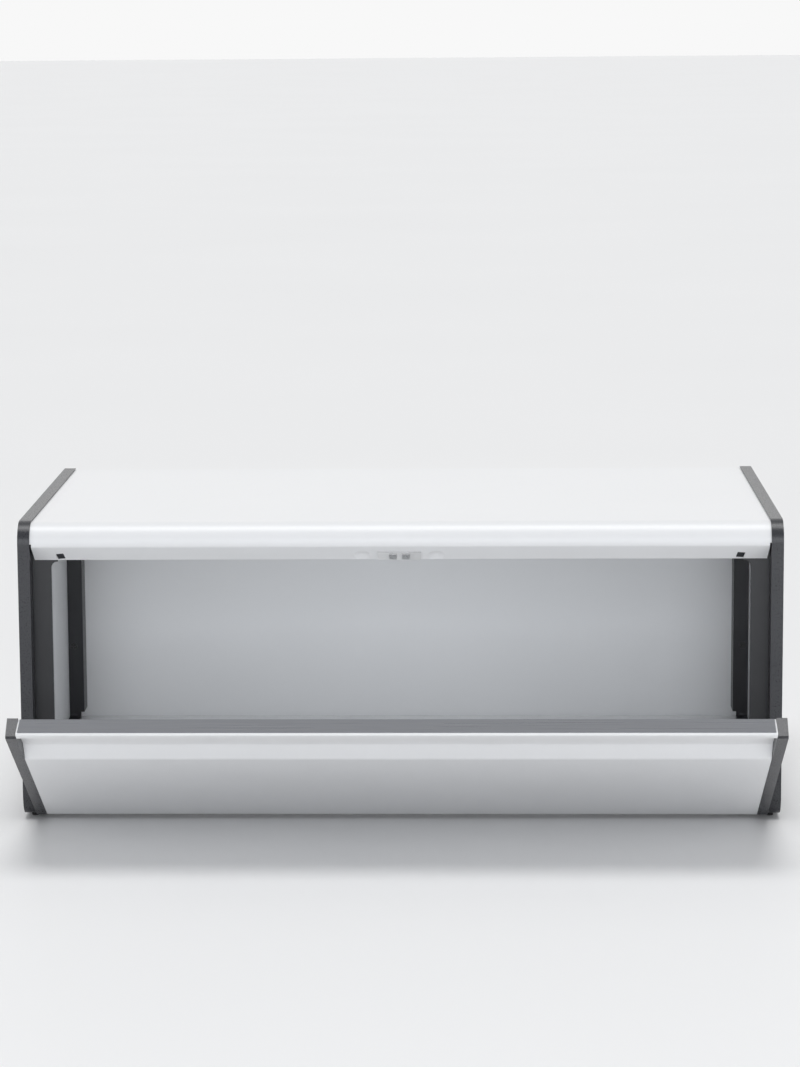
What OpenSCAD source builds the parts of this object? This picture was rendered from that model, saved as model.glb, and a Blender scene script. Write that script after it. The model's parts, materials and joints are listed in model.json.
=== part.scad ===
// Bread bin with a front door that hinges down: a bent steel shell between two moulded end frames.
// Millimetres, +Z up and the front towards -Y. The origin is the middle of the body's footprint,
// at the level that the feet stand on. The door is drawn part open.

/* [Body] */
// Overall width across both end frames
body_width = 465; // [330:5:600]
// Depth from the frames' front edges to their backs
body_depth = 254; // [180:2:340]
// Height from the table to the top of the frames
body_height = 185; // [140:1:260]

/* [Sheet steel] */
// Thickness of every sheet: shell, floor, side plates and door
sheet = 0.8; // [0.5:0.1:1.2]
// How far the shell lies below the frames' edges
shell_inset = 1.0; // [0.8:0.1:2]
// Radius of the shell's rounded front top edge
front_bend_r = 12; // [6:1:18]
// Radius of the shell's rear bends
rear_bend_r = 3; // [1.5:0.5:8]
// Height of the shell's front face, from its top down to the fold of the lip
front_drop = 13.9; // [13:0.1:20]
// Angle of the folded lip and of the door's bevel below the horizontal
lip_angle = 40; // [30:1:50]
// Length of the lip from its fold
lip_length = 14.9; // [14.9:0.1:20]
// Height of the floor's upper face above the table
floor_z = 13.2; // [11:0.2:20]

/* [End frames] */
// Width of an end frame's rim, seen from the front
rim_width = 7.4; // [6.5:0.1:12]
// Width of the frame ring behind the rim, seen from the side
ring_width = 10.8; // [9:0.2:16]
// Width of the border that shows round a side plate
border_width = 16; // [13:0.5:24]
// Thickness of the inner frame's walls
frame_wall = 2.4; // [1.6:0.2:4]
// How far a front jamb reaches in from its rim
jamb_reach = 11.4; // [8:0.2:20]
// How far a rear flange reaches in from its rim
flange_reach = 4.5; // [3:0.1:12]
// Depth of the pocket between a rear flange and the back
rear_pocket = 18; // [14:0.5:26]

/* [Door] */
// Angle from closed at which the door is drawn
door_open = 60; // [0:1:90]
// Thickness of the door
door_thickness = 13; // [11:0.5:18]
// Gap between an end cap and the rim beside it
door_side_gap = 0.4; // [0.2:0.1:1]
// Width of a door end cap
cap_width = 6.3; // [4:0.1:10]
// Radius of a hinge pin
pin_r = 2; // [1.5:0.25:2.5]
// Height of the hinge axis above the table
hinge_z = 9; // [9:0.5:14]
// Height of the nose above the finger recess
nose_height = 7.6; // [6:0.1:12]
// Depth of the finger recess
recess_depth = 6; // [4:0.5:8]
// Height of the finger recess, its lower slope included
recess_height = 38.8; // [30:0.2:60]
// Height of the recess's lower slope
recess_slope = 11.3; // [8:0.1:20]
// Thickness of the brushed strip on the bevel
strip_thickness = 0.6; // [0.4:0.1:1.2]
// Gap between the closed door's strip and the lip, square to them
lip_gap = 2.26; // [1.6:0.02:4]

/* [Catch] */
// Width of the catch housing
catch_width = 26.4; // [20:0.2:40]
// Width of a pole plate's face
pole_width = 4.4; // [3:0.1:8]
// Distance between the two pole plates' middles
pole_spacing = 7.9; // [6:0.1:14]
// Gap between the poles and the closed door's strip
pole_gap = 0.4; // [0.1:0.02:0.6]

/* [Feet] */
// How far the feet hold the frames above the table
foot_height = 2.2; // [1.5:0.1:6]
// Length of a foot
foot_length = 22; // [12:1:40]
// Width of a foot
foot_width = 4.2; // [3:0.1:6]
// Distance from the body's front or back to the nearer end of a foot
foot_setback = 13.5; // [12:0.5:30]

/* [Hidden] */
$fn = 64;

eps = 0.01;
seat = 0.003;
// Clearance between fixed pieces that slide together, and between a turning pin and its bore
fit_gap = 0.1;
pin_clearance = 0.05;

// Faces of the body, with Y counted from the frames' front edges
half_width = body_width / 2;
rim_x = half_width - rim_width;
shell_front = shell_inset;
shell_back = body_depth - shell_inset;
shell_top = body_height - shell_inset;
shell_bottom = foot_height + shell_inset;
back_inside = shell_back - sheet;
fold_z = shell_top - front_drop;
fold_r = 1.8;
shell_flange = 14;
groove_depth = 2.8;
groove_gap = 0.5;

// Side plates lie against a border that is one millimetre thick
border_thickness = 1.0;
plate_x = half_width - border_thickness - sheet;
frame_r = front_bend_r + shell_inset;
frame_rear_r = 4;
opening_r = 5;

// Inner frame: the jamb stands just behind the closed door
door_front = 0.4;
door_rear = door_front + door_thickness;
jamb_y = door_rear + 0.6;
jamb_x = rim_x - jamb_reach;
flange_x = rim_x - flange_reach;
flange_y = body_depth - rear_pocket - 2;
inner_top = body_height - ring_width - fit_gap;
header_drop = 1.2;
header_z = fold_z - lip_length * sin(lip_angle) - header_drop;
header_reach = 15.6;
jamb_fillet_r = 4.2;
ledge_height = 2.8;
ledge_x = rim_x - 2.1;
notch_height = 6.2;

// Clip hooks pass through slots in the lip
slot_x = rim_x - 18;
slot_width = 4.8;
slot_from = 7.6;
slot_to = 13.9;
slot_tilt = 9;
hook_gap = 0.25;

// Door: the bevel lies parallel to the lip
hinge_y = door_front + door_thickness / 2;
hinge_r = door_thickness / 2;
door_x = rim_x - door_side_gap;
panel_x = door_x - cap_width - 0.15;
apex_z = fold_z + (shell_front - door_front) * tan(lip_angle) - (lip_gap + strip_thickness) / cos(lip_angle);
bevel_length = door_thickness / cos(lip_angle);
nose_z = apex_z - max(nose_height, recess_depth * tan(lip_angle) + sheet / cos(lip_angle) + sheet + 0.1);
recess_z = nose_z - recess_height;
nose_r = 1;
strip_from = 2.2;
strip_to = bevel_length - 0.9;
strip_end_margin = 0.9;
door_flange = 7;
cap_proud = 0.2;
cap_front_z = apex_z - 5.3;
cap_rear_z = apex_z - 9.4;
tongue_length = 6;
bore_depth = cap_width - 0.8;

pin_grip = 4.9;

// Catch, in the lip's own directions: along the lip from its fold, and out of its face
pole_proud = lip_gap - pole_gap;
housing_from = 5.6;
housing_to = 14;
housing_proud = 1;
window_from = 6.3;
window_to = 13;
magnet_depth = 7;
pole_from = 6.7;
pole_to = 11.9;
dimple_x = 22.6;
dimple_along = 10;
dimple_r = 5;
dimple_depth = 0.9;

foot_x = rim_x + 1.9;
peg_r = 1.2;
peg_height = 3;

screw_x = rim_x + 1.9;
screw_z = foot_height + 62.8;
screw_r = 1.25;
screw_head_r = 2.4;
screw_length = 9;

// ---- Shared shapes ----

function unit(v) = v / norm(v);
function snap(v) = round(v * 1000) / 1000;
function turn(a, b) = atan2(a.x * b.y - a.y * b.x, a * b);
function heading(v) = atan2(v.y, v.x);

// A drawing in (Y, Z) pushed along X from x0 to x1
module along_x(x0, x1) {
    translate([x0, 0, 0]) rotate([90, 0, 90]) linear_extrude(x1 - x0) children();
}

// A drawing in (X, Z) pushed along Y from y0 to y1
module along_y(y0, y1) {
    translate([0, y1, 0]) rotate([90, 0, 0]) linear_extrude(y1 - y0) children();
}

module box(low, high) {
    translate(low) cube(high - low);
}

// Part of a flat ring, from one angle through a sweep of under 180 degrees
module ring_sector(r_in, r_out, from, sweep) {
    far = 3 * r_out;
    intersection() {
        difference() {
            circle(r_out);
            circle(r_in);
        }
        polygon([for (a = [0, 0.5, 1]) far * [cos(from + a * sweep), sin(from + a * sweep)], [0, 0]]);
    }
}

// How far a slanting straight lies inside the tangent of a bend, so that the two cross instead of only touching
function seat_run(r_in, r_out) = (sqrt(2 * r_out * seat) + sqrt(2 * r_in * seat)) / 2;
function seat_turn(r_in, r_out) = (acos(1 - seat / r_out) + acos(1 - seat / r_in)) / 2;

// The section of a bent sheet. The corners make a path along its outer face, with the sheet on the path's left, and
// each corner between the path's ends has a bend radius that is measured on the path.
module bent_sheet(corners, radii, t) {
    path = [for (c = corners) [snap(c.x), snap(c.y)]];
    last = len(path) - 1;
    dirs = [for (i = [0:last - 1]) unit(path[i + 1] - path[i])];
    slants = [for (d = dirs) abs(d.x) > eps && abs(d.y) > eps];
    turns = [for (i = [0:last]) (i == 0 || i == last) ? 0 : turn(dirs[i - 1], dirs[i])];
    cuts = [for (i = [0:last]) (i == 0 || i == last) ? 0 : snap(radii[i - 1] * tan(abs(turns[i]) / 2))];
    inner = [for (i = [0:last]) turns[i] == 0 ? 0 : turns[i] > 0 ? radii[i - 1] - t : radii[i - 1]];
    for (i = [0:last - 1]) {
        left = [-dirs[i].y, dirs[i].x];
        start = path[i] + dirs[i] * cuts[i];
        end = path[i + 1] - dirs[i] * cuts[i + 1];
        if (slants[i]) {
            from = start - dirs[i] * seat_run(inner[i], inner[i] + t) * abs(sign(turns[i]));
            to = end + dirs[i] * seat_run(inner[i + 1], inner[i + 1] + t) * abs(sign(turns[i + 1]));
            from_seat = left * seat * sign(turns[i]);
            to_seat = left * seat * sign(turns[i + 1]);
            polygon([from + from_seat, to + to_seat, to + to_seat + left * t, from + from_seat + left * t]);
        } else if (norm(end - start) > eps) {
            translate(start) rotate(heading(dirs[i])) square([norm(end - start), t]);
        }
    }
    for (i = [1:last - 1]) {
        side = sign(turns[i]);
        across = side * [-dirs[i - 1].y, dirs[i - 1].x];
        grow = side * seat_turn(inner[i], inner[i] + t);
        before = slants[i - 1] ? grow : 0;
        after = slants[i] ? grow : 0;
        // The centre is set out from the neighbour that runs straight up or across
        middle = slants[i - 1] ? dirs[i] * cuts[i] + side * radii[i - 1] * [-dirs[i].y, dirs[i].x]
            : across * radii[i - 1] - dirs[i - 1] * cuts[i];
        translate(path[i] + middle)
            ring_sector(inner[i], inner[i] + t, heading(-across) - before, turns[i] + before + after);
    }
}

// The waste in one corner of a rounded plate: sy and sz point out of the plate
module corner_waste(y, z, sy, sz, r) {
    translate([y, z]) mirror([sy < 0 ? 1 : 0, 0]) mirror([0, sz < 0 ? 1 : 0])
        difference() {
            translate([-r, -r]) square(r + 1);
            translate([-r, -r]) circle(r);
        }
}

// A plate in (Y, Z) with its own radius at each corner: front top, rear top, rear bottom, front bottom
module rounded_plate(y0, z0, y1, z1, r) {
    difference() {
        translate([y0, z0]) square([y1 - y0, z1 - z0]);
        corner_waste(y0, z1, -1, 1, r[0]);
        corner_waste(y1, z1, 1, 1, r[1]);
        corner_waste(y1, z0, 1, -1, r[2]);
        corner_waste(y0, z0, -1, -1, r[3]);
    }
}

// Moves what was drawn from the front plane to the part's own origin
module placed() {
    translate([0, -body_depth / 2, 0]) children();
}

// The left piece is the right one mirrored: side is 1 for the right and -1 for the left
module sided(side) {
    mirror([side < 0 ? 1 : 0, 0, 0]) children();
}

// The lip's own directions: +Y along the lip from its fold, +Z into the body
module on_lip() {
    translate([0, shell_front, fold_z]) rotate([-lip_angle, 0, 0]) children();
}

// The bevel's own directions: +Y down the bevel from the nose, +Z out of its face
module on_bevel() {
    translate([0, door_front, apex_z]) rotate([-lip_angle, 0, 0]) children();
}

// Turns what was drawn closed about the hinge axis to where the door is drawn
module opened() {
    placed() translate([0, hinge_y, hinge_z]) rotate([door_open, 0, 0])
        translate([0, -hinge_y, -hinge_z]) children();
}

// ---- Body ----

// Section of the shell above the lip's fold. The groove that holds it is open by a gap above it and behind it
module shell_section(outside = 0, inside = 0) {
    path = [
        [shell_back - shell_flange, shell_bottom - outside],
        [shell_back + outside, shell_bottom - outside],
        [shell_back + outside, shell_top + outside],
        [shell_front - outside, shell_top + outside],
        [shell_front - outside, fold_z + fold_r - inside]
    ];
    radii = [rear_bend_r + outside, rear_bend_r + outside, front_bend_r + outside];
    bent_sheet(path, radii, sheet + outside + inside);
}

module lip_section() {
    lip_end = [shell_front + lip_length * cos(lip_angle), fold_z - lip_length * sin(lip_angle)];
    bent_sheet([[shell_front, fold_z + fold_r], [shell_front, fold_z], lip_end], [fold_r], sheet);
}

// A block of the right lip slot's outline, in the lip's own directions
module slot_cut(width, length, low, high) {
    translate([slot_x, (slot_from + slot_to) / 2, low]) rotate([0, 0, slot_tilt])
        translate([-width / 2, -length / 2, 0]) cube([width, length, high - low]);
}

// A round dimple pressed into the lip from below: the wall on the inside, and the hollow in it
module dimple(wall) {
    sphere_r = (dimple_r * dimple_r + dimple_depth * dimple_depth) / (2 * dimple_depth);
    translate([0, dimple_along, dimple_depth - sphere_r]) sphere(wall ? sphere_r + sheet : sphere_r, $fn = 96);
}

module body_shell() {
    lip_half = rim_x - 0.9;
    lip_taper = 0.8;
    color("white") placed() difference() {
        union() {
            along_x(-rim_x - groove_depth + fit_gap, rim_x + groove_depth - fit_gap) shell_section();
            difference() {
                along_x(-lip_half, lip_half) lip_section();
                on_lip() for (s = [-1, 1]) translate([s * lip_half, fold_r, -eps])
                    rotate([0, 0, s * atan(lip_taper / (lip_length - fold_r))])
                        translate([s > 0 ? 0 : -4, -1, -4]) cube([4, 2 * lip_length, 8]);
            }
            on_lip() for (s = [-1, 1]) translate([s * dimple_x, 0, 0]) intersection() {
                dimple(true);
                translate([-10, 0, sheet / 2]) cube([20, lip_length - eps, 4]);
            }
        }
        on_lip() {
            for (s = [-1, 1]) {
                sided(s) slot_cut(slot_width, slot_to - slot_from, -2, 4);
                translate([s * dimple_x, 0, 0]) intersection() {
                    dimple(false);
                    translate([-10, 0, -1]) cube([20, 2 * lip_length, 4]);
                }
            }
            translate([-catch_width / 2 + 2, window_from, -2])
                cube([catch_width - 4, window_to - window_from, 6]);
        }
    }
}

module floor_pan() {
    front = jamb_y + 1.2;
    rear = back_inside;
    flange_z = shell_bottom + sheet;
    rear_flange_z = shell_bottom + rear_bend_r + 0.2;
    path = [[rear, rear_flange_z], [rear, floor_z], [front, floor_z], [front, flange_z]];
    side_x = rim_x - 0.2;
    color("white") placed() {
        along_x(-side_x, side_x) bent_sheet(path, [2, 2], sheet);
        for (s = [-1, 1]) sided(s)
            box([side_x - sheet, front + 4, flange_z], [side_x, rear - 4, floor_z - sheet / 2]);
    }
}

// ---- End frames ----

// The opening through an end frame's ring, seen from inside, with an inset for what fits in it
module frame_opening(inset = 0) {
    rounded_plate(ring_width + inset, foot_height + ring_width + inset, body_depth - ring_width - inset,
        body_height - ring_width - inset, [for (i = [0:3]) opening_r - inset]);
}

module outer_frame(side) {
    plate_seat = plate_x + sheet;
    color([0.27, 0.27, 0.28]) placed() sided(side) difference() {
        union() {
            difference() {
                along_x(rim_x, half_width) rounded_plate(0, foot_height, body_depth, body_height,
                    [frame_r, frame_rear_r, frame_rear_r, frame_r]);
                along_x(rim_x - 1, plate_seat) frame_opening();
                along_x(rim_x, half_width + 1) rounded_plate(border_width, foot_height + border_width,
                    body_depth - border_width, body_height - border_width, [for (i = [0:3]) opening_r]);
            }
            box([rim_x, flange_y + frame_wall + 0.2, screw_z - 5],
                [plate_x - fit_gap, body_depth - ring_width + eps, screw_z + 5]);
        }
        along_x(rim_x - 1, rim_x + groove_depth) shell_section(groove_gap, fit_gap);
        along_x(rim_x - 1, rim_x + groove_depth)
            translate([shell_back + groove_gap - rear_bend_r, shell_top + groove_gap - rear_bend_r]) square(rear_bend_r);
        translate([rim_x - 1, hinge_y, hinge_z]) rotate([0, 90, 0]) cylinder(h = 1 + pin_grip, r = pin_r);
        for (y = foot_places()) translate([foot_x, y, foot_height - 1]) cylinder(h = 1.1 + peg_height, r = peg_r);
        translate([screw_x, flange_y, screw_z]) rotate([-90, 0, 0]) cylinder(h = screw_length, r = screw_r);
    }
}

module clip_hook() {
    box([slot_x - slot_width / 2, jamb_y - 0.6, header_z + 2.6], [slot_x + slot_width / 2, jamb_y + eps, header_z + 11]);
    on_lip() slot_cut(slot_width - 2 * hook_gap, slot_to - slot_from - 2 * hook_gap, hook_gap, 8);
}

module inner_frame(side) {
    rear = flange_y + frame_wall;
    ring_in = rim_x - eps;
    ring_out = plate_x - fit_gap;
    top = inner_top - fit_gap;
    fillet_x = jamb_x - jamb_fillet_r;
    color([0.2, 0.2, 0.21]) placed() sided(side) difference() {
        union() {
            // The wall that fills the outer frame's opening and holds the side plate
            difference() {
                along_x(ring_in, ring_out) frame_opening(2 * fit_gap);
                along_x(ring_in - 1, ring_out + 1) rounded_plate(jamb_y + frame_wall, floor_z + ledge_height,
                    flange_y, top - frame_wall, [2, 2, 2, 2]);
                box([ring_in - 1, rear + fit_gap, screw_z - 5 - fit_gap],
                    [ring_out + 1, body_depth, screw_z + 5 + fit_gap]);
            }
            // Jamb, with the fillet that widens its top
            along_y(jamb_y, jamb_y + frame_wall) {
                translate([jamb_x, floor_z + fit_gap]) square([rim_x - jamb_x, top - floor_z - fit_gap]);
                difference() {
                    translate([fillet_x, header_z - jamb_fillet_r]) square([jamb_fillet_r + eps, jamb_fillet_r + eps]);
                    translate([fillet_x, header_z - jamb_fillet_r]) circle(jamb_fillet_r);
                }
                translate([rim_x - header_reach, header_z]) square([header_reach, 2.6]);
                translate([slot_x - slot_width / 2, header_z + 2.6 - eps])
                    square([rim_x - slot_x + slot_width / 2, top - header_z - 2.6 + eps]);
            }
            clip_hook();
            // Top and bottom ledges
            box([rim_x - 7, jamb_y, top - frame_wall], [rim_x, rear, top]);
            box([ledge_x, jamb_y, floor_z + fit_gap], [rim_x, rear, floor_z + ledge_height]);
            // Rear flange and the web behind it
            box([flange_x, flange_y, floor_z + notch_height], [rim_x, rear, top]);
            box([ledge_x, flange_y, floor_z + fit_gap], [rim_x, rear, floor_z + notch_height + eps]);
            box([flange_x, flange_y, floor_z + notch_height], [flange_x + 2, back_inside - 0.2, top]);
        }
        translate([screw_x, flange_y - 1, screw_z]) rotate([-90, 0, 0]) cylinder(h = 6, r = screw_r);
        translate([screw_x, flange_y - 1, screw_z]) rotate([-90, 0, 0]) cylinder(h = 1.8, r = screw_head_r + fit_gap);
    }
}

module side_plate(side) {
    color("white") placed() sided(side) along_x(plate_x, plate_x + sheet) frame_opening(2 * fit_gap);
}

// One screw in each rear flange, with a cross recess in its head
module frame_screws() {
    color([0.1, 0.1, 0.1]) placed() for (side = [-1, 1]) sided(side)
        translate([screw_x, flange_y - 0.2, screw_z]) rotate([-90, 0, 0]) difference() {
            union() {
                cylinder(h = 1, r = screw_head_r);
                cylinder(h = screw_length - 0.5, r = screw_r);
            }
            for (a = [0, 90]) rotate(a) translate([-1.5, -0.3, -eps]) cube([3, 0.6, 0.7]);
        }
}

// ---- Catch ----

module catch_housing() {
    half = catch_width / 2;
    pocket = pole_width + fit_gap;
    color("white") placed() on_lip() difference() {
        union() {
            difference() {
                translate([-half, housing_from, -housing_proud])
                    cube([catch_width, housing_to - housing_from, housing_proud - fit_gap / 2]);
                translate([-half - 1, housing_from, -housing_proud]) rotate([45, 0, 0]) cube([catch_width + 2, 1, 1], center = false);
            }
            translate([-half + 2 + fit_gap, window_from + fit_gap, -fit_gap])
                cube([catch_width - 4 - 2 * fit_gap, window_to - window_from - 2 * fit_gap, magnet_depth + 1.2]);
        }
        for (s = [-1, 1]) translate([s * pole_spacing / 2 - pocket / 2, pole_from - 0.05, -housing_proud - 1])
            cube([pocket, pole_to - pole_from + 0.1, magnet_depth + housing_proud + 1]);
        translate([-pole_spacing / 2, pole_from - 0.05, 0]) cube([pole_spacing, pole_to - pole_from + 0.1, magnet_depth]);
    }
}

module catch_magnet() {
    half = (pole_spacing - pole_width) / 2 - fit_gap / 2;
    color("dimgray") placed() on_lip()
        translate([-half, pole_from, 0.1]) cube([2 * half, pole_to - pole_from, magnet_depth - 0.2]);
}

module catch_pole_plates() {
    color("silver") placed() on_lip() for (s = [-1, 1])
        translate([s * pole_spacing / 2 - pole_width / 2, pole_from, -pole_proud])
            cube([pole_width, pole_to - pole_from, pole_proud + magnet_depth - 0.1]);
}

// ---- Door, drawn closed ----

// The front sheet, from its rear top flange over the bevel, round the nose and the finger recess,
// down the front and round the bottom to its rear bottom flange
module door_panel() {
    rear_corner_z = apex_z - bevel_length * sin(lip_angle);
    recess_y = door_front + recess_depth;
    bottom_z = hinge_z - hinge_r;
    path = [
        [door_rear, rear_corner_z - door_flange],
        [door_rear, rear_corner_z],
        [door_front, apex_z],
        [door_front, nose_z],
        [recess_y, nose_z],
        [recess_y, recess_z + recess_slope],
        [door_front, recess_z],
        [door_front, bottom_z],
        [door_rear, bottom_z],
        [door_rear, hinge_z + door_flange]
    ];
    radii = [1.2, nose_r, 1.4, 2, 5, 5, hinge_r, hinge_r];
    color("white") opened() along_x(-panel_x, panel_x) bent_sheet(path, radii, sheet);
}

module door_inner_panel() {
    low = hinge_z + 0.5;
    high = apex_z - bevel_length * sin(lip_angle) - 1.6;
    color("white") opened() box([-panel_x, door_rear - 2 * sheet, low], [panel_x, door_rear - sheet, high]);
}

module door_strip() {
    half = panel_x - strip_end_margin;
    color([0.55, 0.56, 0.58]) opened() on_bevel()
        translate([-half, strip_from, 0]) cube([2 * half, strip_to - strip_from, strip_thickness]);
}

module door_cap(side) {
    inner_x = door_x - cap_width;
    front = door_front - cap_proud;
    rear = door_rear + cap_proud;
    round_r = hinge_r + cap_proud;
    room = sheet + 0.2;
    recess_y = door_front + recess_depth + room;
    inner_y = door_rear - 2 * sheet - 0.2;
    chamfer = 1.2;
    // The plug's flat top and its rear edge both clear the underside of the bevel
    plug_top_y = door_front + room + 0.6;
    plug_top_z = apex_z - (room + 0.6) * tan(lip_angle) - room / cos(lip_angle) - 0.7;
    plug_rear_y = door_front + (apex_z - nose_z - room - 0.3 - room / cos(lip_angle)) / tan(lip_angle);
    color([0.25, 0.25, 0.26]) opened() sided(side) difference() {
        union() {
            along_x(inner_x, door_x) {
                translate([hinge_y, hinge_z]) circle(round_r);
                polygon([
                    [front, hinge_z], [rear, hinge_z], [rear, cap_rear_z],
                    [front + chamfer, cap_front_z], [front, cap_front_z - chamfer]
                ]);
            }
            // Tongue between the door's two sheets
            along_x(inner_x - tongue_length, inner_x + eps) polygon([
                [door_front + room, hinge_z + door_flange + 1], [inner_y, hinge_z + door_flange + 1],
                [inner_y, nose_z - 8], [recess_y, nose_z - 8],
                [recess_y, recess_z - 1.5], [door_front + room, recess_z - 1.5]
            ]);
            // Plug that fills the end of the nose
            along_x(inner_x - 4, inner_x + eps) polygon([
                [door_front + room, nose_z + room], [min(recess_y - 1.2, plug_rear_y), nose_z + room],
                [plug_top_y, plug_top_z], [door_front + room, plug_top_z]
            ]);
        }
        translate([door_x + 1, hinge_y, hinge_z]) rotate([0, -90, 0])
            cylinder(h = bore_depth + 1, r = pin_r + pin_clearance);
    }
}

module hinge_pin(side) {
    inner = door_x - bore_depth + 0.4;
    color("silver") placed() sided(side)
        translate([inner, hinge_y, hinge_z]) rotate([0, 90, 0]) cylinder(h = rim_x + pin_grip - inner, r = pin_r);
}

// ---- Feet ----

function foot_places() = [foot_setback + foot_length / 2, body_depth - foot_setback - foot_length / 2];

module foot(side, place) {
    end = foot_length / 2 - foot_width / 2;
    color([0.1, 0.1, 0.1]) placed() sided(side) translate([foot_x, foot_places()[place], 0]) {
        for (y = [-end, end]) translate([0, y, 0]) cylinder(h = foot_height, r = foot_width / 2);
        translate([-foot_width / 2, -end, 0]) cube([foot_width, 2 * end, foot_height]);
        cylinder(h = foot_height + peg_height, r = peg_r);
    }
}

body_shell();
floor_pan();
outer_frame(-1);  // left_outer_frame
outer_frame(1);  // right_outer_frame
inner_frame(-1);  // left_inner_frame
inner_frame(1);  // right_inner_frame
side_plate(-1);  // left_side_plate
side_plate(1);  // right_side_plate
catch_housing();
catch_magnet();
catch_pole_plates();
door_panel();
door_inner_panel();
door_strip();
door_cap(-1);  // left_door_cap
door_cap(1);  // right_door_cap
hinge_pin(-1);  // left_hinge_pin
hinge_pin(1);  // right_hinge_pin
foot(-1, 0);  // front_left_foot
foot(1, 0);  // front_right_foot
foot(-1, 1);  // rear_left_foot
foot(1, 1);  // rear_right_foot
frame_screws();
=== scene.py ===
import json
import math

import bpy
from mathutils import Matrix, Vector

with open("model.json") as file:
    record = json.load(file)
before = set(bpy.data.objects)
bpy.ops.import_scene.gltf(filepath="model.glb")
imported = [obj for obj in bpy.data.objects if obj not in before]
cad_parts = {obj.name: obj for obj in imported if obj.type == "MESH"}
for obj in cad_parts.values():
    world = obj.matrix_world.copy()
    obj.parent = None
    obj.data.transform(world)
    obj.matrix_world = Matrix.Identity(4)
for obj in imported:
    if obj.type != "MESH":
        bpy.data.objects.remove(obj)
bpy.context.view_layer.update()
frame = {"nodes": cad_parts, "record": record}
nodes = frame["nodes"]
scene = bpy.context.scene


# ---------------------------------------------------------------- node helpers
def fill_ramp(ramp, stops):
    while len(ramp.elements) < len(stops):
        ramp.elements.new(0.5)
    for element, (place, colour) in zip(ramp.elements, stops):
        element.position = place
        element.color = (*colour, 1)


class Graph:
    """A small helper round one material's node tree."""

    def __init__(self, name):
        self.mat = bpy.data.materials.new(name)
        self.mat.use_nodes = True
        self.tree = self.mat.node_tree
        self.tree.nodes.clear()
        self.out = self.node("ShaderNodeOutputMaterial")
        self.bsdf = self.node("ShaderNodeBsdfPrincipled")
        self.link(self.bsdf.outputs[0], self.out.inputs[0])
        self.coords = self.node("ShaderNodeTexCoord").outputs["Object"]

    def node(self, kind, **inputs):
        n = self.tree.nodes.new(kind)
        for key, value in inputs.items():
            n.inputs[key.replace("_", " ")].default_value = value
        return n

    def link(self, a, b):
        self.tree.links.new(a, b)

    def set(self, **values):
        for key, value in values.items():
            self.bsdf.inputs[key.replace("_", " ")].default_value = value

    def mapped(self, scale):
        m = self.node("ShaderNodeMapping")
        m.inputs["Scale"].default_value = scale
        self.link(self.coords, m.inputs["Vector"])
        return m.outputs[0]

    def noise(self, scale, detail=3.0, roughness=0.5, vector=None):
        n = self.node("ShaderNodeTexNoise", Scale=scale, Detail=detail, Roughness=roughness)
        self.link(vector or self.coords, n.inputs["Vector"])
        return n.outputs["Fac"]

    def cells(self, scale):
        n = self.node("ShaderNodeTexVoronoi", Scale=scale)
        self.link(self.coords, n.inputs["Vector"])
        return n.outputs["Distance"]

    def span(self, value, low, high, from_min=0.3, from_max=0.7):
        n = self.node("ShaderNodeMapRange")
        self.link(value, n.inputs["Value"])
        n.inputs["From Min"].default_value = from_min
        n.inputs["From Max"].default_value = from_max
        n.inputs["To Min"].default_value = low
        n.inputs["To Max"].default_value = high
        return n.outputs[0]

    def colours(self, value, stops):
        n = self.node("ShaderNodeValToRGB")
        fill_ramp(n.color_ramp, stops)
        self.link(value, n.inputs[0])
        return n.outputs[0]

    def base_colour(self, value, stops):
        self.link(self.colours(value, stops), self.bsdf.inputs["Base Color"])

    def bump(self, height, strength, distance, normal=None):
        n = self.node("ShaderNodeBump", Strength=strength, Distance=distance)
        self.link(height, n.inputs["Height"])
        if normal:
            self.link(normal, n.inputs["Normal"])
        return n.outputs[0]


def grey(v, tint=(0.0, 0.0, 0.0)):
    return (v + tint[0], v + tint[1], v + tint[2])


# ------------------------------------------------------------------- materials
STEEL_TINT = (-0.008, 0.0, 0.022)
FINE_LINES = (26.0, 2600.0, 2600.0)  # noise scale along X, and across it
WIDE_LINES = (9.0, 1100.0, 1100.0)


def painted(name, base, rough, tint=(-0.004, 0.0, 0.006)):
    """Powder coat: a fine orange peel with faint cloudiness in colour and gloss."""
    g = Graph(name)
    cloud = g.noise(9.0, 4.0, 0.55)
    g.base_colour(cloud, [(0.3, grey(base - 0.006, tint)), (0.7, grey(base + 0.006, tint))])
    fine = g.noise(420.0, 2.0, 0.6)
    g.link(g.span(fine, rough - 0.03, rough + 0.04), g.bsdf.inputs["Roughness"])
    peel = g.bump(g.noise(700.0, 2.0, 0.5), 0.10, 0.00012)
    g.link(g.bump(g.noise(95.0, 2.0, 0.5), 0.03, 0.0006, peel), g.bsdf.inputs["Normal"])
    g.set(IOR=1.5)
    return g.mat


def grained(name, base, rough, grain, depth, tint=(0.0, 0.0, 0.001)):
    """Moulded plastic with a fine eroded grain."""
    g = Graph(name)
    spread = g.noise(26.0, 4.0, 0.6)
    g.base_colour(spread, [(0.3, grey(base * 0.9, tint)), (0.7, grey(base * 1.1, tint))])
    pits = g.cells(grain)
    g.link(g.span(pits, rough + 0.08, rough - 0.04, 0.0, 0.8), g.bsdf.inputs["Roughness"])
    inner = g.bump(g.noise(grain * 1.7, 3.0, 0.65), 0.5 * depth, 0.00012)
    g.link(g.bump(pits, depth, 0.00016, inner), g.bsdf.inputs["Normal"])
    g.set(IOR=1.52)
    return g.mat


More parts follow.
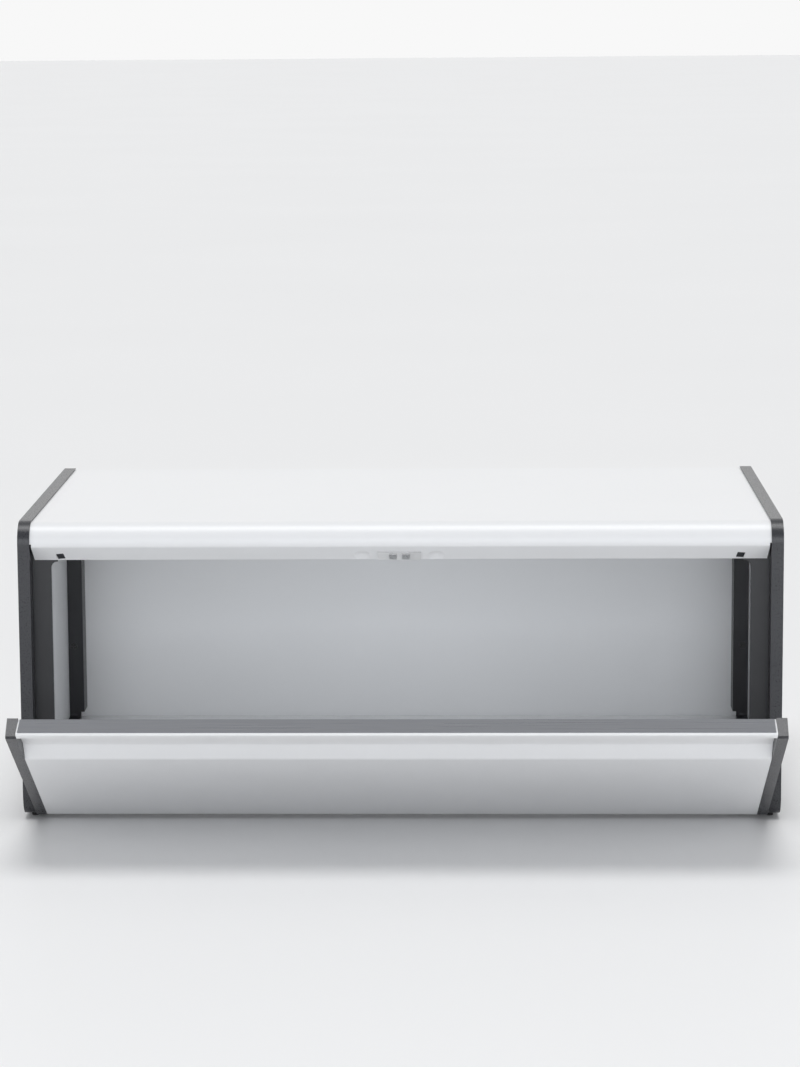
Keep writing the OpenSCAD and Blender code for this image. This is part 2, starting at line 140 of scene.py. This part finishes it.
def brushed(name, base, rough):
    """Steel brushed along X: long fine scratches in colour, gloss and relief."""
    g = Graph(name)
    lines = g.noise(1.0, 4.0, 0.75, vector=g.mapped(FINE_LINES))
    wide = g.noise(1.0, 2.0, 0.5, vector=g.mapped(WIDE_LINES))
    shades = ((0.25, 0.86), (0.5, 1.0), (0.8, 1.12))
    g.base_colour(lines, [(place, grey(base * shade, STEEL_TINT)) for place, shade in shades])
    g.link(g.span(wide, rough - 0.03, rough + 0.04), g.bsdf.inputs["Roughness"])
    g.link(g.bump(lines, 0.3, 0.00003), g.bsdf.inputs["Normal"])
    g.set(Metallic=1.0)
    return g.mat


def plated(name, base, rough):
    """Zinc plate: a faint bluish spangle over a fine grain."""
    g = Graph(name)
    spread = g.noise(180.0, 3.0, 0.6)
    g.base_colour(spread, [(0.3, grey(base * 0.93)), (0.7, grey(base * 1.04, (0, 0, 0.004)))])
    g.link(g.span(g.noise(520.0, 2.0, 0.5), rough - 0.05, rough + 0.08), g.bsdf.inputs["Roughness"])
    g.link(g.bump(g.noise(900.0, 2.0, 0.5), 0.15, 0.00004), g.bsdf.inputs["Normal"])
    g.set(Metallic=1.0)
    return g.mat


by_slot = {
    "white_painted_steel": painted("white_powder_coat", 0.82, 0.33),
    "dark_grained_plastic": grained(
        "dark_grained_plastic", 0.031, 0.30, 1500.0, 0.34, (-0.001, 0.0, 0.005)
    ),
    "black_plastic": grained("black_plastic", 0.017, 0.36, 1700.0, 0.16, (-0.0005, 0.0, 0.003)),
    "white_plastic": grained("white_plastic", 0.72, 0.34, 900.0, 0.06),
    "brushed_steel": brushed("brushed_steel", 0.30, 0.30),
    "zinc_plated_steel": plated("zinc_plated_steel", 0.62, 0.30),
    "ferrite": grained("pressed_ferrite", 0.03, 0.62, 2200.0, 0.4),
    "blackened_steel": grained("blackened_steel", 0.016, 0.38, 2600.0, 0.1),
    "rubber": grained("black_rubber", 0.014, 0.70, 1100.0, 0.35),
}
# the floor pan has the same white powder coat, made glossier and a little whiter (0.84 against
# 0.82); the extra whiteness is painted light, standing in for the reflection that the pan catches
lit_pan_paint = painted("white_powder_coat_floor", 0.84, 0.22)
for sub in frame["record"]["subparts"]:
    obj = nodes[sub["node"]]
    for slot in obj.material_slots:
        slot.material = by_slot[sub["material_slot"]]
for slot in nodes["floor_pan"].material_slots:
    slot.material = lit_pan_paint

# moulded edges are broken by a fine radius that catches the light
EDGE_RADIUS = 0.0004
for name in ("left_outer_frame", "right_outer_frame", "left_door_cap", "right_door_cap"):
    soft = nodes[name].modifiers.new("moulded_edge", "BEVEL")
    soft.width = EDGE_RADIUS
    soft.segments = 2
    soft.limit_method = "ANGLE"
    soft.angle_limit = math.radians(40.0)
    soft.use_clamp_overlap = True
    soft.harden_normals = True


# ----------------------------------------------------------------- stage, light
def area(name, place, target, size, power, colour=(1, 1, 1)):
    """A soft rectangular light that the camera doesn't see."""
    light = bpy.data.lights.new(name, "AREA")
    light.shape = "RECTANGLE"
    light.size, light.size_y = size
    light.energy = power
    light.color = colour
    obj = bpy.data.objects.new(name, light)
    scene.collection.objects.link(obj)
    obj.location = place
    obj.rotation_euler = (Vector(target) - Vector(place)).to_track_quat("-Z", "Y").to_euler()
    obj.visible_camera = False
    return obj


def overhead(source, width, strength):
    """A wide, far light, so that the table is as bright behind the object as in front of it."""
    light = bpy.data.lights.new("overhead", "SUN")
    light.angle = math.radians(width)
    light.energy = strength
    obj = bpy.data.objects.new("overhead", light)
    scene.collection.objects.link(obj)
    obj.location = Vector(source) * 2.0
    obj.rotation_euler = (-Vector(source)).to_track_quat("-Z", "Y").to_euler()


def floor(reach=30.0):
    corners = [(x * reach, y * reach, 0) for x, y in ((-1, -1), (1, -1), (1, 1), (-1, 1))]
    mesh = bpy.data.meshes.new("floor")
    mesh.from_pydata(corners, [], [(0, 1, 2, 3)])
    obj = bpy.data.objects.new("floor", mesh)
    scene.collection.objects.link(obj)
    g = Graph("floor_pale")
    g.base_colour(g.noise(1.5, 2.0, 0.5), [(0.3, grey(0.835)), (0.7, grey(0.845))])
    g.set(Roughness=0.55, IOR=1.45)
    mesh.materials.append(g.mat)


floor()
area("front", (0.0, -2.7, 0.60), (0.0, 0.0, 0.10), (1.2, 0.9), 15.5, (0.935, 0.96, 1.0))
area("side", (1.05, -1.30, 0.22), (0.2, -0.1, 0.09), (0.4, 0.4), 0.8)
overhead((0.0, -0.05, 1.0), 32.0, 1.27)
# under the lip: it evens the light inside the box
fill = area(
    "inner_fill", (0.0, -0.085, 0.150), (0.0, 0.08, 0.0), (0.40, 0.03), 0.075, (0.91, 0.955, 1.0)
)
fill.visible_glossy = False


WORLD_HEIGHTS = (  # sine of the height above the horizon, brightness
    (0.0, 0.77), (0.03, 0.77), (0.12, 0.88), (0.35, 0.78), (0.7, 0.62), (1.0, 0.56)
)
WORLD_FRONT = (0.51, 0.53, 0.565, 1)
WORLD_BEHIND = (1.22, 1.22, 1.22, 1)


def studio_world():
    """A plain pale studio: dimmer and a little cooler in front of the object than behind it."""
    world = bpy.data.worlds.new("studio")
    scene.world = world
    world.use_nodes = True
    tree = world.node_tree
    make, link = tree.nodes.new, tree.links.new
    split = make("ShaderNodeSeparateXYZ")
    link(make("ShaderNodeTexCoord").outputs["Generated"], split.inputs[0])
    height = make("ShaderNodeValToRGB")
    fill_ramp(height.color_ramp, [(place, grey(v)) for place, v in WORLD_HEIGHTS])
    link(split.outputs["Z"], height.inputs[0])
    depth = make("ShaderNodeMapRange")
    depth.inputs["From Min"].default_value = -1.0
    link(split.outputs["Y"], depth.inputs["Value"])
    tint = make("ShaderNodeMix")
    tint.data_type = "RGBA"
    tint.inputs["A"].default_value = WORLD_FRONT
    tint.inputs["B"].default_value = WORLD_BEHIND
    link(depth.outputs[0], tint.inputs["Factor"])
    mix = make("ShaderNodeMix")
    mix.data_type = "RGBA"
    mix.blend_type = "MULTIPLY"
    mix.inputs["Factor"].default_value = 1.0
    link(height.outputs[0], mix.inputs["A"])
    link(tint.outputs["Result"], mix.inputs["B"])
    link(mix.outputs["Result"], tree.nodes["Background"].inputs["Color"])
    tree.nodes["Background"].inputs["Strength"].default_value = 1.0


studio_world()
scene.view_settings.view_transform = "Standard"
scene.view_settings.look = "None"


# ----------------------------------------------------------------------- camera
CAMERA_PLACE = (0.04437, -2.17204, 0.49493)
YAW_PITCH_ROLL = (-2.147, 8.988, -0.479)  # degrees


def camera():
    yaw, pitch, roll = (math.radians(v) for v in YAW_PITCH_ROLL)
    ahead = math.cos(pitch)
    forward = Vector((math.sin(yaw) * ahead, math.cos(yaw) * ahead, -math.sin(pitch)))
    level = Vector((math.cos(yaw), -math.sin(yaw), 0.0))
    raised = level.cross(forward)
    right = level * math.cos(roll) + raised * math.sin(roll)
    up = raised * math.cos(roll) - level * math.sin(roll)
    data = bpy.data.cameras.new("camera")
    obj = bpy.data.objects.new("camera", data)
    scene.collection.objects.link(obj)
    turn = Matrix((right, up, -forward)).transposed().to_4x4()
    obj.matrix_world = Matrix.Translation(CAMERA_PLACE) @ turn
    data.sensor_fit = "HORIZONTAL"
    data.sensor_width = 36.0
    data.lens = 153.72
    data.shift_x = 0.0678
    data.shift_y = 0.0145
    data.clip_start = 0.05
    data.clip_end = 100.0
    scene.camera = obj


camera()
